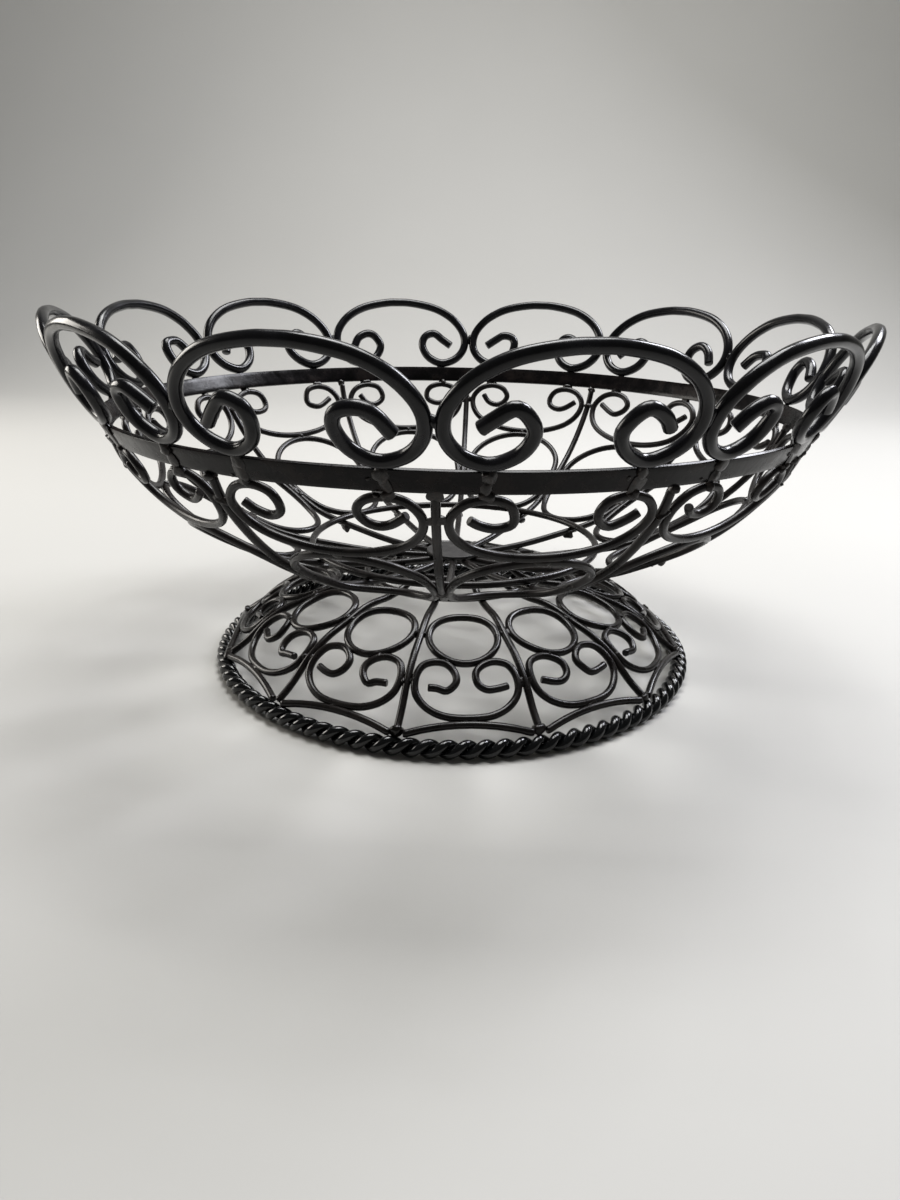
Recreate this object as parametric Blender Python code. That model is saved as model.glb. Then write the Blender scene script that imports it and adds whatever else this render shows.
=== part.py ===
# Wrought-iron scrollwork bowl on a pedestal foot, in metres, +Z up.
# The origin is the middle of the circle that the rope ring stands on, and the axis of the bowl is +Z.
# Every wire lies on a surface of revolution. A motif is drawn flat, in millimetres, as (across, along):
# "across" is measured round the basket from the middle of a panel, and "along" is measured down the
# profile of the bowl or the foot. layOn() bends the flat motif onto the surface.
import math

import bmesh
import bpy
import numpy as np
from mathutils import Matrix

MM = 0.001

# Driving dimensions, millimetres
PANELS = 12
PANEL_ANGLE = 2 * math.pi / PANELS
CLEARANCE = 0.35
FOOT_TURN = math.radians(6.2)

# How many points each centre line is bent through
RIM_POINTS = 23
BOWL_POINTS = 21
OVAL_POINTS = 14
BOWL_RIB_POINTS = 9
CIRCLE_POINTS = 12
FOOT_POINTS = 21
FOOT_RIB_POINTS = 8
ARCH_POINTS = 5
RING_POINTS = 24

RIM_WIRE = 6.0
BOWL_WIRE = 4.0
FOOT_WIRE = 4.0
WIRE_SIDES_LEVEL = 1

BELT_TOP = (193.2, 153.0)
BELT_BOTTOM = (188.4, 143.4)
BELT_THICK = 2.5
BELT_STEPS = 48

ROPE_RADIUS = 139.35
ROPE_HALF = 4.9
ROPE_SIDES = 8
ROPE_STEPS = 36

FLOOR_RING_RADIUS = 84.9
FOOT_RING_RADIUS = 34.0
FOOT_HOOP_RADIUS = 52.5
FOOT_HOOP_RISE = 3.0

PLATE_RADIUS = 16.5
PLATE_THICK = 2.0
PLATE_TOP = 64.2
PLATE_EDGE = 0.5
PLATE_SIDES = 24
STUD_RADIUS = 2.0
STUD_BOTTOM = 50.0
STUD_EDGE = 0.6
STUD_SIDES = 10

# Profiles as (radius, height) of the wires' centre lines
FLARE = [(194.9, 155.9), (200.6, 165.0), (205.4, 174.2), (210.9, 187.5), (215.1, 200.3)]
BOWL = [(193.2, 153.0), (188.4, 143.4), (181.4, 128.5), (164.5, 108.0), (145.0, 91.7), (120.0, 77.2),
        (102.0, 69.8), (75.0, 64.8), (45.0, 60.9), (12.0, 59.7)]
FOOT = [(34.0, 56.0), (42.0, 50.4), (55.0, 47.6), (72.0, 46.5), (88.0, 41.2), (102.0, 36.4),
        (115.0, 28.7), (127.0, 17.8), (133.2, 12.8)]

# Motifs, each one half from its free end to the middle of the panel
RIM_SCROLL = [(38.0, 15.0), (32.5, 20.5), (26.0, 24.2), (19.6, 21.8), (17.0, 14.5), (20.6, 5.2), (30.0, 0.0),
              (40.5, 3.0), (47.8, 10.5), (50.3, 19.5), (47.6, 29.0), (39.0, 38.3), (24.0, 45.2), (0.0, 48.4)]
BOWL_SCROLL = [(35.5, 22.0), (30.0, 27.2), (24.0, 29.0), (18.6, 26.3), (17.2, 20.9), (21.3, 15.4), (30.0, 13.6),
               (38.5, 16.6), (42.8, 24.3), (39.5, 34.4), (30.5, 42.9), (16.0, 48.6), (0.0, 50.4)]
FOOT_SCROLL = [(19.8, 88.2), (14.6, 89.6), (9.6, 89.0), (6.0, 85.4), (5.6, 79.8), (9.0, 75.3), (14.8, 73.7),
               (21.4, 76.5), (25.2, 84.0), (25.0, 93.2), (20.2, 100.3), (11.6, 104.6), (0.0, 105.6)]
BOWL_OVAL_TOP = 53.4
BOWL_OVAL_WIDEST = 76.0
BOWL_OVAL_BOTTOM = 137.0
BOWL_OVAL_HALF_WIDTH = 32.0
FOOT_CIRCLE_CENTRE = 57.0
FOOT_CIRCLE_RADIUS = 18.2
FOOT_ARCH_APEX = 108.6
FOOT_ARCH_SPRING = 113.6
FOOT_ARCH_HALF_WIDTH = 31.0


def clearScene():
    for thing in list(bpy.data.objects):
        bpy.data.objects.remove(thing, do_unlink=True)


def iron(name, colour, roughness):
    material = bpy.data.materials.new(name)
    material.use_nodes = True
    shader = material.node_tree.nodes["Principled BSDF"]
    shader.inputs["Base Color"].default_value = (*colour, 1.0)
    shader.inputs["Roughness"].default_value = roughness
    shader.inputs["Metallic"].default_value = 0.6
    return material


def smoothLine(points, per_span=12, closed=False):
    """Catmull-Rom line through hand-picked points."""
    p = np.array(points, float)
    if closed:
        p = np.vstack([p[-1], p, p[0], p[1]])
    else:
        p = np.vstack([2 * p[0] - p[1], p, 2 * p[-1] - p[-2]])
    t = np.linspace(0.0, 1.0, per_span, endpoint=False)[:, None]
    spans = []
    for a, b, c, d in zip(p[:-3], p[1:-2], p[2:-1], p[3:]):
        curve = (c - a) * t + (2 * a - 5 * b + 4 * c - d) * t**2 + (3 * b - a - 3 * c + d) * t**3
        spans.append(b + 0.5 * curve)
    line = np.vstack(spans)
    return line if closed else np.vstack([line, p[-2]])


def thin(line, count, turn_weight=26.0):
    """Choose points along a line, closer together where it bends; count is the number of points."""
    step = np.diff(line, axis=0)
    length = np.linalg.norm(step, axis=1)
    heading = step / length[:, None]
    turn = np.arccos(np.clip((heading[1:] * heading[:-1]).sum(axis=1), -1.0, 1.0))
    effort = length.copy()
    effort[1:] += turn_weight * turn
    travelled = np.concatenate([[0.0], np.cumsum(effort)])
    stops = np.linspace(0.0, travelled[-1], count)
    return np.column_stack([np.interp(stops, travelled, column) for column in line.T])


def profileReader(profile):
    """Return a function from distance along a profile to (radius, height)."""
    line = smoothLine(profile)
    travelled = np.concatenate([[0.0], np.cumsum(np.linalg.norm(np.diff(line, axis=0), axis=1))])

    def read(along):
        return np.interp(along, travelled, line[:, 0]), np.interp(along, travelled, line[:, 1])

    return read, travelled[-1]


def layOn(read, flat):
    """Bend a flat motif onto the surface of revolution, centred on -Y."""
    radius, height = read(flat[:, 1])
    angle = flat[:, 0] / radius
    return np.column_stack([radius * np.sin(angle), -radius * np.cos(angle), height])


def onMeridian(profile_line):
    """Stand a (radius, height) line up in the plane of -Y."""
    return np.column_stack([0.0 * profile_line[:, 0], -profile_line[:, 0], profile_line[:, 1]])


def mirrored(half):
    """Complete a half motif that ends on the panel's middle line."""
    right = np.array(half, float)
    left = right[::-1] * (-1.0, 1.0)
    return np.vstack([right, left[1:]])


def wireCurve(name, points, diameter, closed=False):
    """A round wire through points given in millimetres."""
    curve = bpy.data.curves.new(name, "CURVE")
    curve.dimensions = "3D"
    curve.bevel_depth = diameter / 2 * MM
    curve.bevel_resolution = WIRE_SIDES_LEVEL
    curve.use_fill_caps = not closed
    spline = curve.splines.new("POLY")
    spline.points.add(len(points) - 1)
    spline.points.foreach_set("co", np.column_stack([points * MM, np.ones(len(points))]).ravel())
    spline.use_cyclic_u = closed
    return curve


def wireMesh(name, points, diameter, closed=False):
    """The same wire as a mesh, for Boolean work."""
    curve = wireCurve(name, points, diameter, closed)
    holder = bpy.data.objects.new(name, curve)
    mesh = bpy.data.meshes.new_from_object(holder)
    bpy.data.objects.remove(holder)
    return mesh


def place(name, data, material, turn=0.0):
    thing = bpy.data.objects.new(name, data)
    thing.rotation_euler = (0.0, 0.0, turn)
    if not data.materials:
        data.materials.append(material)
    bpy.context.scene.collection.objects.link(thing)
    return thing


def placeRound(name, data, material, first_turn=0.0):
    """One copy in each panel; a copy shares its shape with the others."""
    for panel in range(PANELS):
        place(f"{name}_{panel + 1:02d}", data, material, first_turn + (panel + 0.5) * PANEL_ANGLE)


def guide(name, mesh):
    """A shape used only by a Boolean."""
    thing = bpy.data.objects.new(name, mesh)
    thing.hide_render = True
    thing.display_type = "WIRE"
    bpy.context.scene.collection.objects.link(thing)
    return thing


def weldOn(thing, helper):
    weld = thing.modifiers.new("weld_" + helper.name, "BOOLEAN")
    weld.operation = "UNION"
    weld.solver = "EXACT"
    weld.object = helper


def roundCopies(mesh, count, first_turn):
    """Join equally turned copies of a mesh in one mesh."""
    shape = bmesh.new()
    shape.from_mesh(mesh)
    original = list(shape.verts) + list(shape.edges) + list(shape.faces)
    for number in range(count):
        copy = bmesh.ops.duplicate(shape, geom=original)["geom"]
        corners = [item for item in copy if isinstance(item, bmesh.types.BMVert)]
        turn = Matrix.Rotation(first_turn + number * 2 * math.pi / count, 3, "Z")
        bmesh.ops.rotate(shape, verts=corners, cent=(0, 0, 0), matrix=turn)
    bmesh.ops.delete(shape, geom=[item for item in original if isinstance(item, bmesh.types.BMVert)])
    joined = bpy.data.meshes.new(mesh.name + "_round")
    shape.to_mesh(joined)
    shape.free()
    return joined


def spunRing(name, section, steps):
    """Spin a closed (radius, height) section about +Z, one flat facet square to -Y."""
    shape = bmesh.new()
    half_step = math.pi / steps
    corners = []
    for radius, height in section:
        corners.append(shape.verts.new((radius * math.sin(half_step) * MM, -radius * math.cos(half_step) * MM,
                                        height * MM)))
    edges = [shape.edges.new((a, b)) for a, b in zip(corners, corners[1:] + corners[:1])]
    bmesh.ops.spin(shape, geom=edges, cent=(0, 0, 0), axis=(0, 0, 1), angle=2 * math.pi, steps=steps,
                   use_merge=True)
    bmesh.ops.remove_doubles(shape, verts=shape.verts, dist=1e-7)
    bmesh.ops.recalc_face_normals(shape, faces=shape.faces)
    mesh = bpy.data.meshes.new(name)
    shape.to_mesh(mesh)
    shape.free()
    return mesh


def beltSection():
    """The belt is a flat bar rolled on the slant of the bowl's wall."""
    top = np.array(BELT_TOP)
    bottom = np.array(BELT_BOTTOM)
    slant = (top - bottom) / np.linalg.norm(top - bottom)
    outward = np.array([slant[1], -slant[0]]) * BELT_THICK / 2
    return [bottom - outward, bottom + outward, top + outward, top - outward]


def ropeSection():
    """An even-sided section with a flat face down on z = 0."""
    corner = ROPE_HALF / math.cos(math.pi / ROPE_SIDES)
    angles = [(number + 0.5) * 2 * math.pi / ROPE_SIDES for number in range(ROPE_SIDES)]
    return [(ROPE_RADIUS + corner * math.cos(a), ROPE_HALF + corner * math.sin(a)) for a in angles]


def ovalOutline(steps):
    """An egg-shaped ring: two half ellipses that share their widest line."""
    angle = np.linspace(0.0, 2 * math.pi, steps, endpoint=False)
    across = BOWL_OVAL_HALF_WIDTH * np.cos(angle)
    up = BOWL_OVAL_WIDEST - BOWL_OVAL_TOP
    down = BOWL_OVAL_BOTTOM - BOWL_OVAL_WIDEST
    along = BOWL_OVAL_WIDEST - np.where(np.sin(angle) > 0, up, down) * np.sin(angle)
    return np.column_stack([across, along])


def circleOutline(steps):
    angle = np.linspace(0.0, 2 * math.pi, steps, endpoint=False)
    return np.column_stack([FOOT_CIRCLE_RADIUS * np.cos(angle),
                            FOOT_CIRCLE_CENTRE + FOOT_CIRCLE_RADIUS * np.sin(angle)])


def archOutline(steps):
    across = np.linspace(-FOOT_ARCH_HALF_WIDTH, FOOT_ARCH_HALF_WIDTH, steps)
    rise = FOOT_ARCH_SPRING - FOOT_ARCH_APEX
    return np.column_stack([across, FOOT_ARCH_APEX + rise * (across / FOOT_ARCH_HALF_WIDTH) ** 2])


def makeRim(material):
    read, _ = profileReader(FLARE)
    flat = thin(smoothLine(mirrored(RIM_SCROLL)), RIM_POINTS)
    placeRound("rim_scroll", wireCurve("rim_scroll", layOn(read, flat), RIM_WIRE), material)


def makeBelt(material):
    place("belt_band", spunRing("belt_band", beltSection(), BELT_STEPS), material)


def weldedMotif(name, wires):
    """One closed mesh of wires that are welded where they touch."""
    pattern = guide(name + "_pattern", wires[0])
    for wire in wires[1:]:
        weldOn(pattern, guide(wire.name + "_pattern", wire))
    bpy.context.view_layer.update()
    welded = pattern.evaluated_get(bpy.context.evaluated_depsgraph_get())
    mesh = bpy.data.meshes.new_from_object(welded)
    mesh.materials.clear()
    return mesh


def makeBowlPanels(material):
    """A scroll and the long oval ring that hangs from the bottom of it."""
    read, _ = profileReader(BOWL)
    scroll = thin(smoothLine(mirrored(BOWL_SCROLL)), BOWL_POINTS)
    motif = [wireMesh("bowl_oval", layOn(read, ovalOutline(OVAL_POINTS)), BOWL_WIRE, closed=True),
             wireMesh("bowl_scroll", layOn(read, scroll), BOWL_WIRE)]
    placeRound("bowl_panel", weldedMotif("bowl_panel", motif), material)


def ringPoints(radius, height):
    angle = np.linspace(0.0, 2 * math.pi, RING_POINTS, endpoint=False)
    return np.column_stack([radius * np.sin(angle), -radius * np.cos(angle), 0 * angle + height])


def heightAt(profile, radius):
    line = smoothLine(profile)[::-1]
    return float(np.interp(radius, line[:, 0], line[:, 1]))


def makeBowlRibs(material):
    """Ribs stand between the panels, from under the belt to the middle of the floor."""
    read, length = profileReader(BOWL)
    start = math.dist(BELT_TOP, BELT_BOTTOM) + BOWL_WIRE / 2 + CLEARANCE
    radius, height = read(np.linspace(start, length, BOWL_RIB_POINTS))
    rib = wireCurve("bowl_rib", onMeridian(np.column_stack([radius, height])), BOWL_WIRE)
    placeRound("bowl_rib", rib, material, PANEL_ANGLE / 2)


def makeFloorRing(material):
    """The ring lies on top of the ribs, inside the bowl."""
    height = heightAt(BOWL, FLOOR_RING_RADIUS) + BOWL_WIRE + CLEARANCE
    ring = ringPoints(FLOOR_RING_RADIUS, height)
    place("bowl_floor_ring", wireCurve("bowl_floor_ring", ring, BOWL_WIRE, closed=True), material)


def makeFootFrame(material):
    """Twelve ribs welded to two hoops: one round their ends, and a larger one lying on top of them."""
    read, length = profileReader(FOOT)
    radius, height = read(np.linspace(0.0, length, FOOT_RIB_POINTS))
    rib = wireMesh("foot_rib", onMeridian(np.column_stack([radius, height])), FOOT_WIRE)
    small = ringPoints(FOOT_RING_RADIUS, FOOT[0][1])
    large = ringPoints(FOOT_HOOP_RADIUS, heightAt(FOOT[::-1], FOOT_HOOP_RADIUS) + FOOT_HOOP_RISE)
    frame = place("foot_frame", wireMesh("foot_frame", small, FOOT_WIRE, closed=True), material)
    weldOn(frame, guide("foot_ribs", roundCopies(rib, PANELS, FOOT_TURN + PANEL_ANGLE / 2)))
    weldOn(frame, guide("foot_hoop", wireMesh("foot_hoop", large, FOOT_WIRE, closed=True)))


def makeFootPanels(material):
    """A circle, a scroll and an arch, welded where they touch."""
    read, _ = profileReader(FOOT)
    scroll = thin(smoothLine(mirrored(FOOT_SCROLL)), FOOT_POINTS)
    motif = [wireMesh("foot_circle", layOn(read, circleOutline(CIRCLE_POINTS)), FOOT_WIRE, closed=True),
             wireMesh("foot_scroll", layOn(read, scroll), FOOT_WIRE),
             wireMesh("foot_arch", layOn(read, archOutline(ARCH_POINTS)), FOOT_WIRE)]
    placeRound("foot_panel", weldedMotif("foot_panel", motif), material, FOOT_TURN - PANEL_ANGLE / 2)


def makeRope(material):
    place("rope_base_ring", spunRing("rope_base_ring", ropeSection(), ROPE_STEPS), material)


def turnedPiece(name, radius, bottom, top, edge, sides, material):
    """A round bar or disc with a bevelled rim, its origin in its middle."""
    shape = bmesh.new()
    bmesh.ops.create_cone(shape, cap_ends=True, segments=sides, radius1=radius * MM, radius2=radius * MM,
                          depth=(top - bottom) * MM)
    rims = [side for side in shape.edges if abs(side.verts[0].co.z - side.verts[1].co.z) < 1e-6]
    bmesh.ops.bevel(shape, geom=rims, offset=edge * MM, segments=1, affect="EDGES")
    mesh = bpy.data.meshes.new(name)
    shape.to_mesh(mesh)
    shape.free()
    piece = place(name, mesh, material)
    piece.location.z = (top + bottom) / 2 * MM
    return piece


def makeCentre(material):
    plate_bottom = PLATE_TOP - PLATE_THICK
    stud_top = plate_bottom - CLEARANCE
    turnedPiece("centre_plate", PLATE_RADIUS, plate_bottom, PLATE_TOP, PLATE_EDGE, PLATE_SIDES, material)
    turnedPiece("centre_stud", STUD_RADIUS, STUD_BOTTOM, stud_top, STUD_EDGE, STUD_SIDES, material)


def main():
    clearScene()
    makeRim(iron("painted_iron_rim", (0.030, 0.031, 0.034), 0.38))
    makeBelt(iron("painted_iron_belt", (0.028, 0.026, 0.027), 0.42))
    makeBowlPanels(iron("painted_iron_bowl", (0.026, 0.023, 0.023), 0.45))
    bare_ribs = iron("painted_iron_ribs", (0.024, 0.021, 0.021), 0.45)
    makeBowlRibs(bare_ribs)
    makeFloorRing(bare_ribs)
    makeCentre(iron("painted_iron_plate", (0.045, 0.045, 0.046), 0.5))
    makeFootFrame(iron("painted_iron_foot_ribs", (0.024, 0.021, 0.021), 0.4))
    makeFootPanels(iron("painted_iron_foot", (0.022, 0.020, 0.020), 0.4))
    makeRope(iron("gloss_black_rope", (0.012, 0.013, 0.014), 0.25))


main()
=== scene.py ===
import math

import bpy
import numpy as np
from mathutils import Matrix, Vector


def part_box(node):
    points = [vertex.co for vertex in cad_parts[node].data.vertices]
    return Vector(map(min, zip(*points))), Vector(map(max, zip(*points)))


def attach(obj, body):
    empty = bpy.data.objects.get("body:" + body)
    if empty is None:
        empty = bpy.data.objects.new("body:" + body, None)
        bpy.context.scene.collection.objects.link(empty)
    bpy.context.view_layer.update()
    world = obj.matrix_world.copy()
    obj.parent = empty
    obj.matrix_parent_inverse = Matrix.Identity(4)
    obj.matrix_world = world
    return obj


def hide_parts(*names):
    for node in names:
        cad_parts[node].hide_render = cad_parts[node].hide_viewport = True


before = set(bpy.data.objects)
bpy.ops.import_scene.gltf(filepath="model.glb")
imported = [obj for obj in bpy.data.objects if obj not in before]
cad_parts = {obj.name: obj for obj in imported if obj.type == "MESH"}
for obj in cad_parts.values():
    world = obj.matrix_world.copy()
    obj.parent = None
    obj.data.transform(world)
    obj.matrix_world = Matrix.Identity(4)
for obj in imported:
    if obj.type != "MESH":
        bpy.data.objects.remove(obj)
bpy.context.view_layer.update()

mm = 0.001
panels = 12
panelAngle = 2 * math.pi / panels
chance = np.random.default_rng(41)  # every uneven length and lump below is drawn from this, in order

# The wires' centre lines seen from the side, as (radius, height) in millimetres
shape = {
    "flare": [(194.9, 155.9), (200.6, 165.0), (205.4, 174.2), (210.9, 187.3), (214.4, 199.7)],
    "wall": [(193.2, 153.0), (188.4, 143.4), (181.4, 128.5), (164.5, 108.0), (145.0, 91.7), (120.0, 77.2),
             (102.0, 69.8), (75.0, 64.8), (45.0, 60.9), (12.0, 59.7)],
    "foot": [(34.0, 56.3), (42.0, 50.6), (55.0, 47.6), (72.0, 46.5), (88.0, 41.2), (102.0, 36.4),
             (115.0, 28.7), (127.0, 17.8), (137.0, 10.8)],
    "footTurn": math.radians(6.2),  # the foot was welded on slightly turned
}


def smoothCurve(points, perSpan=24):
    # Catmull-Rom: each span is a cubic whose end slopes are half the chord between its neighbours
    p = np.array(points, float)
    p = np.vstack([2 * p[0] - p[1], p, 2 * p[-1] - p[-2]])
    a, b, c, d = (p[k:len(p) - 3 + k, None, :] for k in range(4))
    t = np.linspace(0.0, 1.0, perSpan, endpoint=False)[None, :, None]
    spans = b + 0.5 * ((c - a) * t + (2 * a - 5 * b + 4 * c - d) * t**2 + (3 * b - a - 3 * c + d) * t**3)
    return np.vstack([spans.reshape(-1, p.shape[1]), p[-2]])


def distanceAlong(line):
    return np.concatenate([[0.0], np.cumsum(np.linalg.norm(np.diff(line, axis=0), axis=1))])


def evenly(line, spacing):
    # points at equal distances along a line
    travelled = distanceAlong(line)
    stops = np.linspace(0.0, travelled[-1], max(4, int(round(travelled[-1] / spacing)) + 1))
    return np.column_stack([np.interp(stops, travelled, column) for column in line.T])


def profileOf(points):
    line = smoothCurve(points)
    travelled = distanceAlong(line)
    slope = np.gradient(line, travelled, axis=0)
    outward = np.column_stack([-slope[:, 1], slope[:, 0]])
    outward *= np.where(outward[:, :1] < 0, -1.0, 1.0)
    return {"along": travelled, "line": line, "outward": outward, "length": travelled[-1]}


flare = profileOf(shape["flare"])
wall = profileOf(shape["wall"])
foot = profileOf(shape["foot"])


def bendOn(profile, flat, turn, lift=0.0):
    # A flat motif (across, along) goes on a surface of revolution: angle = turn + across / radius(along),
    # and the point is (radius sin angle, -radius cos angle, height), moved out by lift along the normal.
    across, along = flat[..., 0], flat[..., 1]
    radius, height, outR, outZ = (np.interp(along, profile["along"], column) for column in
                                  (*profile["line"].T, *profile["outward"].T))
    angle = turn + across / radius
    side = np.stack([np.sin(angle), -np.cos(angle), 0 * angle], axis=-1)
    up = np.array([0.0, 0.0, 1.0])
    normal = side * outR[..., None] + up * outZ[..., None]
    normal /= np.linalg.norm(normal, axis=-1, keepdims=True)
    point = side * radius[..., None] + up * height[..., None] + normal * np.asarray(lift)[..., None]
    return point, normal


sharpAngle = 48.0  # degrees: faces that meet at less than this are shaded as one smooth surface


def meshFrom(name, verts, quads, tris, material, slotName, replaced):
    mesh = bpy.data.meshes.new(name)
    loops = np.concatenate([quads.ravel(), tris.ravel()]).astype(np.int32)
    sizes = np.concatenate([np.full(len(quads), 4), np.full(len(tris), 3)]).astype(np.int32)
    mesh.vertices.add(len(verts))
    mesh.vertices.foreach_set("co", (verts * mm).astype(np.float32).ravel())
    mesh.loops.add(len(loops))
    mesh.loops.foreach_set("vertex_index", loops)
    mesh.polygons.add(len(sizes))
    mesh.polygons.foreach_set("loop_start", np.concatenate([[0], np.cumsum(sizes)[:-1]]).astype(np.int32))
    mesh.update(calc_edges=True)
    mesh.validate()
    mesh.materials.append(material)
    mesh.shade_smooth()
    mesh.set_sharp_from_angle(angle=math.radians(sharpAngle))
    piece = bpy.data.objects.new(name, mesh)
    bpy.context.scene.collection.objects.link(piece)
    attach(piece, "root")
    if replaced:
        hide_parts(*replaced)
    return piece


def gridFaces(rows, columns, closedRows=False):
    # quads between neighbouring rows of a grid whose columns close round
    row = np.arange(rows if closedRows else rows - 1)[:, None]
    column = np.arange(columns)[None, :]
    nextRow, nextColumn = (row + 1) % rows, (column + 1) % columns
    corners = [row * columns + column, row * columns + nextColumn,
               nextRow * columns + nextColumn, nextRow * columns + column]
    return np.stack(np.broadcast_arrays(*corners), axis=-1).reshape(-1, 4)


def fanFaces(ring, centre, flip):
    # triangles from a ring of corners to one centre corner
    after = np.roll(ring, -1)
    first, second = (after, ring) if flip else (ring, after)
    return np.column_stack([first, second, np.full(len(ring), centre)])


def waveSum(turn, waves):
    # a sum of sines, each (height, how many to a turn, phase)
    return sum(height * np.sin(count * turn + phase) for height, count, phase in waves)


drawnWire = {
    "sides": 12,
    "swell": 0.012,  # how much the radius wanders, as a part of itself
    "waves": ((1.0, 5), (1.0, 11), (0.6, 23)),  # (height, how many to a wire's length)
    "chamfer": 0.4,  # millimetres: the last ring of a cut end stands this far past the one before it
    "endWidth": 0.84,  # and is this wide beside it
}


def wireShell(path, normal, diameter, sides=drawnWire["sides"], closed=False, swell=drawnWire["swell"]):
    # A round section carried along a path: point = path + r (cos q normal + sin q sideways), where sideways
    # is the tangent crossed with the normal and r is half the diameter, uneven by slow waves.
    count = len(path)
    if closed:
        tangent = np.roll(path, -1, axis=0) - np.roll(path, 1, axis=0)
    else:
        tangent = np.gradient(path, axis=0)
    tangent /= np.linalg.norm(tangent, axis=1, keepdims=True)
    sideways = np.cross(tangent, normal)
    sideways /= np.linalg.norm(sideways, axis=1, keepdims=True)
    level = np.cross(sideways, tangent)
    turns = np.linspace(0, 2 * math.pi, count, endpoint=not closed)
    phases = chance.uniform(0, 2 * math.pi, len(drawnWire["waves"]))
    waves = [(*wave, phase) for wave, phase in zip(drawnWire["waves"], phases)]
    full = sum(height for height, _ in drawnWire["waves"])
    radius = diameter / 2 * (1 + swell * waveSum(turns, waves) / full)
    if not closed:
        chamfer = drawnWire["chamfer"]
        path = np.vstack([path[0], path[0] + tangent[0] * chamfer, path[1:-1],
                          path[-1] - tangent[-1] * chamfer, path[-1]])
        order = np.concatenate([[0, 0], np.arange(1, count - 1), [count - 1, count - 1]])
        sideways, level, tangent = sideways[order], level[order], tangent[order]
        radius = radius[order]
        radius[[0, -1]] *= drawnWire["endWidth"]
    angle = np.linspace(0, 2 * math.pi, sides, endpoint=False)
    ring = (np.cos(angle)[None, :, None] * level[:, None, :]
            + np.sin(angle)[None, :, None] * sideways[:, None, :])
    verts = (path[:, None, :] + radius[:, None, None] * ring).reshape(-1, 3)
    quads = gridFaces(len(path), sides, closed)
    if closed:
        return verts, quads, np.zeros((0, 3), int)
    last = (len(path) - 1) * sides
    verts = np.vstack([verts, path[0], path[-1]])
    tris = np.vstack([fanFaces(np.arange(sides), len(verts) - 2, True),
                      fanFaces(last + np.arange(sides), len(verts) - 1, False)])
    return verts, quads, tris


weldBead = {
    "rows": 8,
    "columns": 12,
    "rough": 0.12,  # how much the surface wanders, as a part of the bead's size
    "waves": (1.6, 3.4),  # the least and the most that a wave turns across half a bead, in radians
    "tightness": 1.7,  # times that
    "place": 0.45,  # millimetres, how far a bead is off its place
    "sizes": (0.8, 1.25),  # the smallest and largest bead, beside the size asked for
    "tilt": 0.25,  # radians
}


def lumps(centres, frames, sizes):
    # Rounded lumps of weld metal: a unit ball, its radius uneven by a few slow waves across the ball,
    # stretched by three half sizes along three directions of its own and set at its centre.
    count = len(centres)
    rows, columns = weldBead["rows"], weldBead["columns"]
    polar = np.linspace(0, math.pi, rows + 1)[1:-1]
    around = np.linspace(0, 2 * math.pi, columns, endpoint=False)
    ball = np.stack([np.sin(polar)[:, None] * np.cos(around), np.sin(polar)[:, None] * np.sin(around),
                     np.cos(polar)[:, None] + 0 * around], axis=-1).reshape(-1, 3)
    ball = np.vstack([ball, [0, 0, 1], [0, 0, -1]])
    phase = chance.uniform(0, 2 * math.pi, (count, 1, 3))
    pull = chance.uniform(*weldBead["waves"], (count, 1, 3))
    wave = np.sin(ball[None] * pull * weldBead["tightness"] + phase).sum(axis=2, keepdims=True)
    local = ball[None] * (1 + weldBead["rough"] * wave) * sizes[:, None, :]
    verts = (centres[:, None, :] + np.einsum("nkc,ncd->nkd", local, frames)).reshape(-1, 3)
    ringCount = rows - 1
    quads = gridFaces(ringCount, columns)[:, ::-1]
    top, bottom = ringCount * columns, ringCount * columns + 1
    tris = np.vstack([fanFaces(np.arange(columns), top, False),
                      fanFaces((ringCount - 1) * columns + np.arange(columns), bottom, True)])
    starts = (np.arange(count) * len(ball))[:, None, None]
    return verts, (quads[None] + starts).reshape(-1, 4), (tris[None] + starts).reshape(-1, 3)


def colour(text):
    # sRGB hex to linear: c / 12.92 below 0.04045, otherwise ((c + 0.055) / 1.055) to the power 2.4
    parts = [int(text[k:k + 2], 16) / 255 for k in (1, 3, 5)]
    return (*[c / 12.92 if c <= 0.04045 else ((c + 0.055) / 1.055) ** 2.4 for c in parts], 1.0)


def add(tree, kind, settings=None, links=None):
    # one node, its settings by property or socket name, and its links as socket: (node, output)
    node = tree.nodes.new(kind)
    for key, value in (settings or {}).items():
        if isinstance(key, str) and hasattr(node, key):
            setattr(node, key, value)
        else:
            node.inputs[key].default_value = value
    for key, (source, output) in (links or {}).items():
        tree.links.new(source.outputs[output], node.inputs[key])
    return node


def perMetre(sizeMm):
    return 1.0 / (sizeMm * mm)


brushwork = {
    "spread": (0.30, 0.5, 0.72),  # where the patch noise is dark, body and light
    "dustRange": (0.52, 0.78),  # the grain noise between which dust goes from none to all
    "sheenRange": (0.3, 0.7),  # the patch noise between which the roughness goes from low to high
    "peelDepth": 0.12,  # millimetres
    "dentDepth": 0.5,
}


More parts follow.
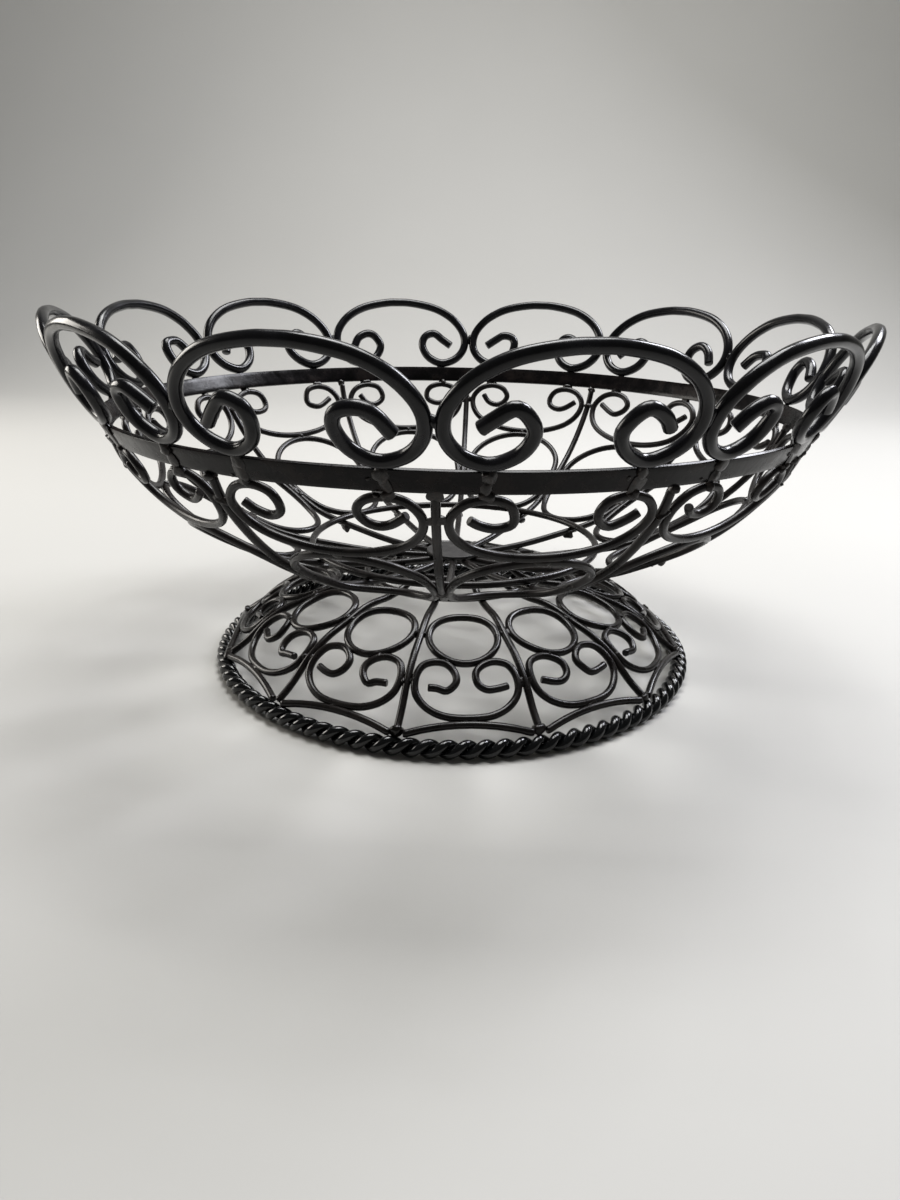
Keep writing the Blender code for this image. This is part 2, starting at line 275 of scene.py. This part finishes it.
def ironPaint(name, look):
    # Black enamel brushed and sprayed over mild steel wire. The paint is a dielectric, so it is dark with a
    # clean highlight; it pools and thins in patches of about a centimetre, and shows a fine orange peel.
    material = bpy.data.materials.new(name)
    material.use_nodes = True
    tree = material.node_tree
    tree.nodes.clear()
    place = add(tree, "ShaderNodeTexCoord")
    patches = add(tree, "ShaderNodeTexNoise",
                  {"Scale": perMetre(look["patchMm"]), "Detail": 4.0, "Roughness": 0.6},
                  {"Vector": (place, "Object")})
    grain = add(tree, "ShaderNodeTexNoise",
                {"Scale": perMetre(look["grainMm"]), "Detail": 3.0, "Roughness": 0.55},
                {"Vector": (place, "Object")})
    tint = add(tree, "ShaderNodeValToRGB", links={"Fac": (patches, "Fac")})
    tint.color_ramp.elements[0].position = brushwork["spread"][0]
    tint.color_ramp.elements[0].color = colour(look["dark"])
    tint.color_ramp.elements[1].position = brushwork["spread"][2]
    tint.color_ramp.elements[1].color = colour(look["light"])
    middle = tint.color_ramp.elements.new(brushwork["spread"][1])
    middle.color = colour(look["body"])
    dust = add(tree, "ShaderNodeMapRange",
               {"From Min": brushwork["dustRange"][0], "From Max": brushwork["dustRange"][1],
                "To Max": look["dust"]}, {"Value": (grain, "Fac")})
    dusted = add(tree, "ShaderNodeMix", {"data_type": "RGBA"}, {"Factor": (dust, "Result")})
    tree.links.new(tint.outputs["Color"], dusted.inputs[6])  # the two colours of a Mix node are 6 and 7
    dusted.inputs[7].default_value = colour(look["dustColour"])
    sheen = add(tree, "ShaderNodeMapRange",
                {"From Min": brushwork["sheenRange"][0], "From Max": brushwork["sheenRange"][1],
                 "To Min": look["roughness"][0], "To Max": look["roughness"][1]}, {"Value": (patches, "Fac")})
    peel = add(tree, "ShaderNodeBump", {"Strength": look["peel"], "Distance": brushwork["peelDepth"] * mm},
               {"Height": (grain, "Fac")})
    waves = add(tree, "ShaderNodeBump", {"Strength": look["dents"], "Distance": brushwork["dentDepth"] * mm},
                {"Height": (patches, "Fac"), "Normal": (peel, "Normal")})
    shader = add(tree, "ShaderNodeBsdfPrincipled",
                 {"Metallic": look["metallic"], "Specular IOR Level": look["specular"],
                  "Coat Weight": look["coat"], "Coat Roughness": look["coatRoughness"]},
                 {"Base Color": (dusted, 2), "Roughness": (sheen, "Result"), "Normal": (waves, "Normal")})
    add(tree, "ShaderNodeOutputMaterial", links={"Surface": (shader, "BSDF")})
    return material


finishes = {
    # thick smooth enamel: deep black, with one clean streak of light along each wire
    "rim": {"body": "#0e0e11", "dark": "#070708", "light": "#19191d", "dustColour": "#454443", "dust": 0.08,
            "patchMm": 14.0, "grainMm": 0.9, "roughness": (0.15, 0.28), "peel": 0.15, "dents": 0.2,
            "metallic": 0.0, "specular": 0.27, "coat": 0.08, "coatRoughness": 0.12},
    # enamel over rolled strip: its broad dents break the reflections up
    "belt": {"body": "#0c0a0b", "dark": "#050505", "light": "#1c1614", "dustColour": "#453b37", "dust": 0.06,
             "patchMm": 12.0, "grainMm": 1.3, "roughness": (0.16, 0.34), "peel": 0.22, "dents": 0.6,
             "metallic": 0.0, "specular": 0.14, "coat": 0.03, "coatRoughness": 0.12},
    # thinner enamel, a little brown and dusty, softer streaks
    "bowl": {"body": "#131010", "dark": "#0a0808", "light": "#1f1b19", "dustColour": "#584f48", "dust": 0.14,
             "patchMm": 11.0, "grainMm": 0.8, "roughness": (0.22, 0.38), "peel": 0.22, "dents": 0.26,
             "metallic": 0.0, "specular": 0.25, "coat": 0.06, "coatRoughness": 0.2},
    # enamel over lumpy weld metal: short broken glints and brown dust in its hollows
    "weld": {"body": "#14100f", "dark": "#090707", "light": "#2a211d", "dustColour": "#5e544b", "dust": 0.22,
             "patchMm": 3.0, "grainMm": 0.7, "roughness": (0.24, 0.44), "peel": 0.5, "dents": 0.6,
             "metallic": 0.0, "specular": 0.36, "coat": 0.1, "coatRoughness": 0.2},
    # as the bowl, a little cleaner and darker
    "foot": {"body": "#100d0c", "dark": "#080706", "light": "#1a1614", "dustColour": "#524840", "dust": 0.12,
             "patchMm": 12.0, "grainMm": 0.8, "roughness": (0.20, 0.34), "peel": 0.2, "dents": 0.2,
             "metallic": 0.0, "specular": 0.25, "coat": 0.07, "coatRoughness": 0.16},
    # the wettest coat: a bright spot on each turn of the rope
    "rope": {"body": "#08090a", "dark": "#050505", "light": "#0e0f10", "dustColour": "#303130", "dust": 0.08,
             "patchMm": 10.0, "grainMm": 0.9, "roughness": (0.12, 0.22), "peel": 0.12, "dents": 0.16,
             "metallic": 0.0, "specular": 0.34, "coat": 0.2, "coatRoughness": 0.08},
    # grey, dull and dusty: the grey body colour is painted sheen, the lighter shine of the dark plate put
    # into its colour, with rough dusty enamel over it
    "plate": {"body": "#242323", "dark": "#181717", "light": "#31302e", "dustColour": "#5f5953", "dust": 0.3,
              "patchMm": 7.0, "grainMm": 0.8, "roughness": (0.40, 0.58), "peel": 0.4, "dents": 0.4,
              "metallic": 0.1, "specular": 0.4, "coat": 0.0, "coatRoughness": 0.3},
}
rimPaint = ironPaint("semi_gloss_black_enamel_on_round_iron", finishes["rim"])
beltPaint = ironPaint("satin_black_enamel_on_rolled_strip", finishes["belt"])
bowlPaint = ironPaint("brown_black_enamel_on_thin_wire", finishes["bowl"])
weldPaint = ironPaint("painted_over_weld_metal", finishes["weld"])
footPaint = ironPaint("black_enamel_on_foot_wire", finishes["foot"])
ropePaint = ironPaint("gloss_black_enamel_on_twisted_wire", finishes["rope"])
# the centre plate's paint: a grey body colour that is painted sheen, under rough dusty enamel
platePaint = ironPaint("dull_enamel_with_painted_grey_sheen_on_centre_plate", finishes["plate"])
print("finishes made")


def bentByHand(half, tipSlack, wobble):
    # one maker's version of a scroll: both halves drawn from the same points, each end a little different
    points = []
    for side in (1.0, -1.0):
        p = np.array(half, float)
        p[0] += chance.normal(0, tipSlack, 2)
        p[1:5] += chance.normal(0, wobble, (4, 2))  # the four points of the curl after its tip
        points.append(p * (side, 1.0))
    return np.vstack([points[0], points[1][-2::-1]])


rimScroll = {
    "half": [(38.0, 15.0), (32.5, 20.5), (26.0, 24.2), (19.6, 21.8), (17.0, 14.5), (20.6, 5.2), (30.0, 0.0),
             (40.5, 3.0), (47.8, 10.5), (50.3, 19.5), (47.6, 29.0), (39.0, 38.3), (24.0, 45.2), (0.0, 48.4)],
    "wire": 6.0, "spacing": 1.7, "tipSlack": 1.3, "wobble": 0.5,
}
bowlScroll = {
    "half": [(35.5, 22.0), (30.0, 27.2), (24.0, 29.0), (18.6, 26.3), (17.2, 20.9), (21.3, 15.4), (30.0, 13.6),
             (38.5, 16.6), (42.8, 24.3), (39.5, 34.4), (30.5, 42.9), (16.0, 48.6), (0.0, 50.4)],
    "wire": 4.0, "spacing": 1.6, "tipSlack": 1.0, "wobble": 0.4,
}
footScroll = {
    "half": [(21.0, 89.4), (15.0, 90.4), (10.0, 91.2), (5.6, 87.2), (5.2, 81.2), (9.4, 76.0), (15.4, 74.6),
             (22.0, 77.5), (25.8, 85.1), (25.9, 93.8), (20.8, 100.6), (12.0, 104.8), (0.0, 105.8)],
    "wire": 4.0, "spacing": 1.4, "tipSlack": 0.8, "wobble": 0.35,
}
for number in range(panels):
    tag = f"{number + 1:02d}"
    turn = (number + 0.5) * panelAngle
    for name, motif, profile, paint, slotName, node, motifTurn in (
            ("rim_scroll_wire_", rimScroll, flare, rimPaint, "rim_wire", "rim_scroll_", turn),
            ("bowl_scroll_wire_", bowlScroll, wall, bowlPaint, "bowl_wire", "bowl_panel_", turn),
            ("foot_scroll_wire_", footScroll, foot, footPaint, "foot_wire", "foot_panel_",
             turn + shape["footTurn"] - panelAngle / 2)):
        bent = bentByHand(motif["half"], motif["tipSlack"], motif["wobble"])
        path, normal = bendOn(profile, evenly(smoothCurve(bent), motif["spacing"]), motifTurn)
        meshFrom(name + tag, *wireShell(path, normal, motif["wire"]), paint, slotName, [node + tag])
print("scrolls made")

bowlOval = {"halfWidth": 32.2, "top": 54.2, "widest": 80.0, "bottom": 136.5, "wire": 4.0, "steps": 140,
            "slack": 0.25}
footCircle = {"radius": 18.3, "centre": 57.0, "wire": 4.0, "steps": 84}
footArch = {"halfWidth": 32.4, "apex": 109.2, "spring": 116.0, "wire": 4.0, "spacing": 1.5, "points": 60}


def ovalLine(look):
    # two half ellipses on one widest line: along = widest - rise sin q above it, widest + drop sin q below it
    q = np.linspace(0, 2 * math.pi, look["steps"], endpoint=False)
    reach = np.where(np.sin(q) > 0, look["widest"] - look["top"], look["bottom"] - look["widest"])
    return np.column_stack([look["halfWidth"] * np.cos(q), look["widest"] - reach * np.sin(q)])


def circleLine(look):
    q = np.linspace(0, 2 * math.pi, look["steps"], endpoint=False)
    return np.column_stack([look["radius"] * np.cos(q), look["centre"] - look["radius"] * np.sin(q)])


def archLine(look):
    # a shallow parabola from one rib's foot to the next
    across = np.linspace(-look["halfWidth"], look["halfWidth"], look["points"])
    rise = look["spring"] - look["apex"]
    along = look["apex"] + rise * (across / look["halfWidth"]) ** 2
    return evenly(np.column_stack([across, along]), look["spacing"])


for number in range(panels):
    tag = f"{number + 1:02d}"
    turn = (number + 0.5) * panelAngle
    footTurn = turn + shape["footTurn"] - panelAngle / 2
    path, normal = bendOn(wall, ovalLine(bowlOval) + chance.normal(0, bowlOval["slack"], 2), turn)
    meshFrom("bowl_oval_wire_" + tag, *wireShell(path, normal, bowlOval["wire"], closed=True), bowlPaint,
             "bowl_wire", ["bowl_panel_" + tag])
    path, normal = bendOn(foot, circleLine(footCircle), footTurn)
    meshFrom("foot_circle_wire_" + tag, *wireShell(path, normal, footCircle["wire"], closed=True), footPaint,
             "foot_wire", ["foot_panel_" + tag])
    path, normal = bendOn(foot, archLine(footArch), footTurn)
    meshFrom("foot_arch_wire_" + tag, *wireShell(path, normal, footArch["wire"]), footPaint,
             "foot_wire", ["foot_panel_" + tag])
print("ovals, circles and arches made")

bowlRib = {"wire": 4.0, "start": 12.9, "spacing": 2.0}
footRib = {"wire": 4.0, "start": 0.0, "spacing": 2.0}
floorRing = {"wire": 4.0, "radius": 84.9, "rise": 4.05, "steps": 220}  # lies on the bowl's ribs
footHoop = {"wire": 4.0, "radius": 52.5, "rise": 3.2, "steps": 180}  # lies on the foot's ribs
footRing = {"wire": 4.0, "radius": 34.0, "rise": 0.0, "steps": 120}  # closes the ends of the foot's ribs


def ribShell(profile, look, turn):
    steps = int((profile["length"] - look["start"]) / look["spacing"])
    along = np.linspace(look["start"], profile["length"], steps)
    path, normal = bendOn(profile, np.column_stack([0 * along, along]), turn)
    return wireShell(path, normal, look["wire"])


def hoopShell(profile, look):
    # a level circle whose height is the profile's height at that radius, plus rise
    q = np.linspace(0, 2 * math.pi, look["steps"], endpoint=False)
    radii, heights = profile["line"].T
    order = np.argsort(radii)
    height = np.interp(look["radius"], radii[order], heights[order]) + look["rise"]
    path = np.column_stack([look["radius"] * np.sin(q), -look["radius"] * np.cos(q), 0 * q + height])
    normal = np.column_stack([0 * q, 0 * q, 0 * q + 1])
    return wireShell(path, normal, look["wire"], closed=True)


for number in range(panels):
    tag = f"{number + 1:02d}"
    meshFrom("bowl_rib_wire_" + tag, *ribShell(wall, bowlRib, (number + 1) * panelAngle), bowlPaint,
             "bowl_wire", ["bowl_rib_" + tag])
    meshFrom("foot_rib_" + tag, *ribShell(foot, footRib, (number + 0.5) * panelAngle + shape["footTurn"]),
             footPaint, "foot_wire", ["foot_frame"])
meshFrom("floor_ring_wire", *hoopShell(wall, floorRing), bowlPaint, "bowl_wire", ["bowl_floor_ring"])
meshFrom("foot_hoop_wire", *hoopShell(foot, footHoop), footPaint, "foot_wire", ["foot_frame"])
meshFrom("foot_ring_wire", *hoopShell(foot, footRing), footPaint, "foot_wire", ["foot_frame"])
print("ribs and rings made")

belt = {
    "top": (193.2, 153.0),
    "bottom": (188.4, 143.4),
    "thick": 2.5,
    "square": 7,  # the higher, the sharper the bar's corners
    "steps": 480,
    "sides": 32,
    "sway": ((0.14, 7, 1.1), (0.09, 17, 0.4), (0.05, 41, 0.0)),  # in and out, in millimetres
    "lift": ((0.08, 9, 2.0),),  # up and down
}


def beltShell(look):
    # A flat bar with rounded corners turned about the axis: section = rounded rectangle in (slant, outward),
    # its radius and height uneven by slow waves, as hand rolling leaves it.
    top, bottom = np.array(look["top"]), np.array(look["bottom"])
    middle, half = (top + bottom) / 2, np.linalg.norm(top - bottom) / 2
    slant = (top - bottom) / (2 * half)
    outward = np.array([slant[1], -slant[0]])
    q = np.linspace(0, 2 * math.pi, look["sides"], endpoint=False) + math.pi / look["sides"]
    power = look["square"]
    square = 1 / (np.abs(np.cos(q)) ** power + np.abs(np.sin(q)) ** power) ** (1 / power)
    section = (middle + (half * square * np.sin(q))[:, None] * slant
               + (look["thick"] / 2 * square * np.cos(q))[:, None] * outward)
    turn = np.linspace(0, 2 * math.pi, look["steps"], endpoint=False)
    radius = section[None, :, 0] + waveSum(turn, look["sway"])[:, None]
    height = section[None, :, 1] + waveSum(turn, look["lift"])[:, None]
    verts = np.stack([radius * np.sin(turn)[:, None], -radius * np.cos(turn)[:, None], height], axis=-1)
    return verts.reshape(-1, 3), gridFaces(look["steps"], look["sides"], True), np.zeros((0, 3), int)


meshFrom("belt_strip", *beltShell(belt), beltPaint, "belt_strip", ["belt_band"])

rope = {
    "radius": 139.35,
    "strand": 4.9,
    "turns": 47,
    "perTurn": 26,
    "sides": 14,
    "ease": 0.995,  # a strand's width beside the distance between the two strands' centres
    "startAngle": 0.4,
}


def strandShell(look, startAngle):
    # Two wires twisted together: the centre circles the rope's own middle circle at half a strand's
    # diameter while it goes round it, angle = turns x round + start.
    q = np.linspace(0, 2 * math.pi, look["turns"] * look["perTurn"], endpoint=False)
    twist = look["turns"] * q + startAngle
    offset = look["strand"] / 2
    side = np.column_stack([np.sin(q), -np.cos(q), 0 * q])
    up = np.array([0.0, 0.0, 1.0])
    normal = np.cos(twist)[:, None] * side + np.sin(twist)[:, None] * up
    path = side * look["radius"] + up * look["strand"] + normal * offset
    return wireShell(path, normal, look["strand"] * look["ease"], look["sides"], closed=True, swell=0.0)


for name, start in (("rope_strand_a", rope["startAngle"]), ("rope_strand_b", rope["startAngle"] + math.pi)):
    meshFrom(name, *strandShell(rope, start), ropePaint, "rope_wire", ["rope_base_ring"])
print("belt and rope made")

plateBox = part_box("centre_plate")
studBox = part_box("centre_stud")

# edge is the rounded corner's radius and corner its steps, dome is how far the flat middle of each end stands
# out past its corner, and flat is how much of the radius that middle takes
plateDisc = {"box": plateBox, "edge": 0.5, "dome": 0.05, "flat": 0.3, "corner": 5, "steps": 72}
studBar = {"box": studBox, "edge": 0.8, "dome": 0.5, "flat": 0.3, "corner": 5, "steps": 20}


def turnedShell(outline, steps):
    # an outline of (radius, height) turned about the axis, closed by a fan at each end
    q = np.linspace(0, 2 * math.pi, steps, endpoint=False)
    radius, height = np.array(outline, float).T
    verts = np.stack([radius[:, None] * np.sin(q), -radius[:, None] * np.cos(q), height[:, None] + 0 * q],
                     axis=-1)
    rows = len(outline)
    verts = np.vstack([verts.reshape(-1, 3), [0, 0, height[0]], [0, 0, height[-1]]])
    quads = gridFaces(rows, steps)[:, ::-1]
    tris = np.vstack([fanFaces(np.arange(steps), rows * steps, False),
                      fanFaces((rows - 1) * steps + np.arange(steps), rows * steps + 1, True)])
    return verts, quads, tris


def discOutline(look):
    # a round bar seen from the side, top to bottom: flat middle, down to a rounded corner, straight, and back
    lowest, highest = look["box"]
    edge, dome = look["edge"], look["dome"]
    radius = (highest[0] - lowest[0]) / 2 / mm
    top, bottom = highest[2] / mm, lowest[2] / mm
    bend = np.linspace(math.pi / 2, 0, look["corner"])
    corner = np.column_stack([radius - edge + edge * np.cos(bend), top - dome - edge + edge * np.sin(bend)])
    lower = corner[::-1] * (1.0, -1.0) + (0.0, top + bottom)
    return np.vstack([[radius * look["flat"], top], corner, lower, [radius * look["flat"], bottom]])


# plate and stud both take the plate's paint, whose grey body colour is painted sheen
meshFrom("centre_plate_disc", *turnedShell(discOutline(plateDisc), plateDisc["steps"]), platePaint,
         "belt_strip", ["centre_plate"])
meshFrom("centre_stud_bar", *turnedShell(discOutline(studBar), studBar["steps"]), platePaint,
         "bowl_wire", ["centre_stud"])
print("centre made")


def beadSet(profile, spots, turns):
    # Each spot is (across, along, half width across, half length along, half height out, lift); a spot whose
    # across is None sits on the line between two panels. Each bead is a little off its place and size.
    spots = np.array([[math.nan if v is None else v for v in spot] for spot in spots], float)
    grid = np.repeat(spots[None], len(turns), axis=0).reshape(-1, 6)
    turn = np.repeat(np.asarray(turns), len(spots))
    onRib = np.isnan(grid[:, 0])
    turn = turn + np.where(onRib, panelAngle / 2, 0.0)
    grid[onRib, 0] = 0.0
    grid[:, :2] += chance.normal(0, weldBead["place"], (len(grid), 2))
    grid[:, 2:5] *= chance.uniform(*weldBead["sizes"], (len(grid), 3))
    centre, normal = bendOn(profile, grid[:, :2], turn, grid[:, 5])
    stepAhead = 0.5
    ahead, _ = bendOn(profile, grid[:, :2] + (0.0, stepAhead), turn, grid[:, 5])
    alongDirection = ahead - centre
    alongDirection -= (alongDirection * normal).sum(axis=1, keepdims=True) * normal
    alongDirection /= np.linalg.norm(alongDirection, axis=1, keepdims=True)
    acrossDirection = np.cross(alongDirection, normal)
    frames = np.stack([acrossDirection, alongDirection, normal], axis=1)
    tilt = chance.normal(0, weldBead["tilt"], len(grid))
    frames[:, 0], frames[:, 1] = (np.cos(tilt)[:, None] * frames[:, 0] + np.sin(tilt)[:, None] * frames[:, 1],
                                  np.cos(tilt)[:, None] * frames[:, 1] - np.sin(tilt)[:, None] * frames[:, 0])
    return lumps(centre, frames, grid[:, 2:5])


bowlTurns = [(number + 0.5) * panelAngle for number in range(panels)]
footTurns = [number * panelAngle + shape["footTurn"] for number in range(panels)]
rimWelds = [(None, 19.5, 1.9, 3.4, 2.1, 0.0), (30.0, -3.0, 3.2, 3.0, 2.6, 0.0),
                      (-30.0, -3.0, 3.2, 3.0, 2.6, 0.0)]
beltWelds = [(30.0, 1.6, 3.0, 3.6, 1.5, 1.3), (-30.0, 1.6, 3.0, 3.6, 1.5, 1.3),
                       (30.6, 7.4, 2.7, 5.2, 1.1, 1.2), (-30.6, 7.4, 2.7, 5.2, 1.1, 1.2),
                       (30.0, 12.0, 3.4, 2.6, 2.3, 0.6), (-30.0, 12.0, 3.4, 2.6, 2.3, 0.6),
                       (27.4, 11.4, 1.1, 1.0, 1.2, 1.6), (-32.0, -0.6, 1.2, 1.0, 1.0, 1.8),
                       (24.6, 4.2, 0.9, 0.9, 0.7, 1.2), (-36.0, 8.6, 0.8, 0.7, 0.6, 1.2),
                       (None, 11.9, 3.0, 2.3, 2.2, 0.3)]
bowlWelds = [(None, 24.6, 5.0, 1.9, 2.2, 0.4), (0.0, 52.3, 2.8, 2.5, 2.5, 0.2),
                       (None, 97.0, 4.6, 3.4, 2.4, 0.2), (None, 103.5, 4.2, 3.0, 2.2, -0.2),
                       (None, 146.6, 2.6, 2.8, 2.4, 2.0)]
footWelds = [(20.2, 54.0, 1.5, 2.4, 1.8, 0.0), (-20.2, 54.0, 1.5, 2.4, 1.8, 0.0),
                       (27.8, 87.6, 1.5, 2.4, 1.8, 0.0), (-27.8, 87.6, 1.5, 2.4, 1.8, 0.0),
                       (9.8, 74.6, 1.9, 1.6, 1.9, 0.0), (-9.8, 74.6, 1.9, 1.6, 1.9, 0.0),
                       (0.0, 107.4, 5.0, 1.2, 1.5, 0.0), (None, 114.8, 4.4, 2.6, 2.4, 0.2)]
for name, profile, spots, turns, paint, slotName in (
        ("rim_weld_beads", flare, rimWelds, bowlTurns, rimPaint, "rim_wire"),
        ("belt_weld_beads", wall, beltWelds, bowlTurns, weldPaint, "belt_strip"),
        ("bowl_weld_beads", wall, bowlWelds, bowlTurns, weldPaint, "bowl_wire"),
        ("foot_weld_beads", foot, footWelds, footTurns, footPaint, "foot_wire")):
    meshFrom(name, *beadSet(profile, spots, turns), paint, slotName, [])
print("weld beads made")

viewpoint = {  # millimetres and degrees
    "distance": 517.2,
    "aside": -1.8,
    "height": 221.3,
    "azimuth": 2.47,
    "down": 20.21,
    "roll": -1.16,
    "sensor": 36.0,
    "lens": 26.5623,
    "clip": (0.01, 50.0),  # metres
}


def placeCamera(look):
    # The camera stands at (aside, -distance, height), turned about the basket's axis by azimuth. It looks
    # level along +Y, then down, and the frame is turned by roll.
    turn, down, roll = (math.radians(look[key]) for key in ("azimuth", "down", "roll"))
    spin = np.array([[math.cos(turn), -math.sin(turn), 0], [math.sin(turn), math.cos(turn), 0], [0, 0, 1]])
    right = np.array([1.0, 0.0, 0.0])
    forward = np.array([0.0, math.cos(down), -math.sin(down)])
    upward = np.cross(right, forward)
    right, upward = (math.cos(roll) * right - math.sin(roll) * upward,
                     math.sin(roll) * right + math.cos(roll) * upward)
    data = bpy.data.cameras.new("front_view")
    data.sensor_width = look["sensor"]
    data.lens = look["lens"]
    data.clip_start, data.clip_end = look["clip"]
    camera = bpy.data.objects.new("front_view", data)
    place = spin @ np.array([look["aside"], -look["distance"], look["height"]]) * mm
    axes = np.column_stack([spin @ right, spin @ upward, spin @ -forward])
    matrix = np.eye(4)
    matrix[:3, :3], matrix[:3, 3] = axes, place
    camera.matrix_world = Matrix(matrix.tolist())
    bpy.context.scene.collection.objects.link(camera)
    bpy.context.scene.camera = camera


placeCamera(viewpoint)


sweep = {  # metres
    "halfWidth": 6.0,
    "near": -5.0,
    "far": 1.1,
    "curve": 0.9,
    "height": 3.0,
    "steps": 24,
    "tint": ("#adaca8", "#b3b2ae"),
    "patchMm": 400.0,
    "roughness": 0.62,
}


def floorPaper(name, look):
    # matt painted board: pale, rough and nearly even, with a very slow variation
    material = bpy.data.materials.new(name)
    material.use_nodes = True
    tree = material.node_tree
    tree.nodes.clear()
    place = add(tree, "ShaderNodeTexCoord")
    slow = add(tree, "ShaderNodeTexNoise", {"Scale": perMetre(look["patchMm"]), "Detail": 2.0},
               {"Vector": (place, "Object")})
    ramp = add(tree, "ShaderNodeValToRGB", links={"Fac": (slow, "Fac")})
    ramp.color_ramp.elements[0].color = colour(look["tint"][0])
    ramp.color_ramp.elements[1].color = colour(look["tint"][1])
    shader = add(tree, "ShaderNodeBsdfPrincipled", {"Roughness": look["roughness"]},
                 {"Base Color": (ramp, "Color")})
    add(tree, "ShaderNodeOutputMaterial", links={"Surface": (shader, "BSDF")})
    return material


def makeFloor(look):
    # A board that lies flat, then bends up behind in a quarter circle, so that no edge shows: along the bend,
    # depth = far + curve sin q and height = curve (1 - cos q), in metres.
    q = np.linspace(0, math.pi / 2, look["steps"])
    back = look["far"] + look["curve"]
    depth = np.concatenate([[look["near"]], look["far"] + look["curve"] * np.sin(q), [back]])
    height = np.concatenate([[0.0], look["curve"] * (1 - np.cos(q)), [look["height"]]])
    side = np.array([-look["halfWidth"], look["halfWidth"]])
    grid = np.broadcast_arrays(side[None, :], depth[:, None], height[:, None])
    verts = np.stack(grid, axis=-1).reshape(-1, 3)
    row = 2 * np.arange(len(depth) - 1)
    faces = np.column_stack([row, row + 1, row + 3, row + 2])
    mesh = bpy.data.meshes.new("studio_floor")
    mesh.from_pydata(verts.tolist(), [], faces.tolist())
    mesh.shade_smooth()
    mesh.materials.append(floorPaper("pale_matt_floor", look))
    floor = bpy.data.objects.new("studio_floor", mesh)
    bpy.context.scene.collection.objects.link(floor)


makeFloor(sweep)


lamps = {  # metres and watts
    "window_right": {"place": (0.95, 0.75, 1.15), "target": (0.0, 0.0, 0.08), "size": (0.55, 0.55),
                     "power": 22.0, "tint": "#f6f7ff"},
    "window_left": {"place": (-1.25, 0.35, 0.5), "target": (0.0, 0.0, 0.12), "size": (0.7, 0.6),
                    "power": 10.0, "tint": "#fffaf2"},
    "ceiling": {"place": (0.1, 0.35, 1.6), "target": (0.0, 0.05, 0.0), "size": (1.0, 0.8),
                "power": 29.0, "tint": "#ffffff"},
    "backdrop_wash": {"place": (0.0, 0.9, 2.2), "target": (0.0, 2.0, 0.9), "size": (2.0, 0.4),
                      "power": 20.0, "tint": "#ffffff"},
}
room = {"tint": "#dcdcda", "strength": 0.13}  # what the wires reflect where no lamp is


def areaLight(name, look):
    data = bpy.data.lights.new(name, "AREA")
    data.shape = "RECTANGLE"
    data.size, data.size_y = look["size"]
    data.energy = look["power"]
    data.color = colour(look["tint"])[:3]
    light = bpy.data.objects.new(name, data)
    light.location = look["place"]
    light.rotation_mode = "QUATERNION"
    light.rotation_quaternion = (Vector(look["target"]) - Vector(look["place"])).to_track_quat("-Z", "Y")
    bpy.context.scene.collection.objects.link(light)


for name, look in lamps.items():
    areaLight(name, look)

world = bpy.data.worlds.new("soft_room")
world.use_nodes = True
world.node_tree.nodes["Background"].inputs["Color"].default_value = colour(room["tint"])
world.node_tree.nodes["Background"].inputs["Strength"].default_value = room["strength"]
bpy.context.scene.world = world
bpy.context.scene.view_settings.view_transform = "Standard"
print("camera, floor and lights made")
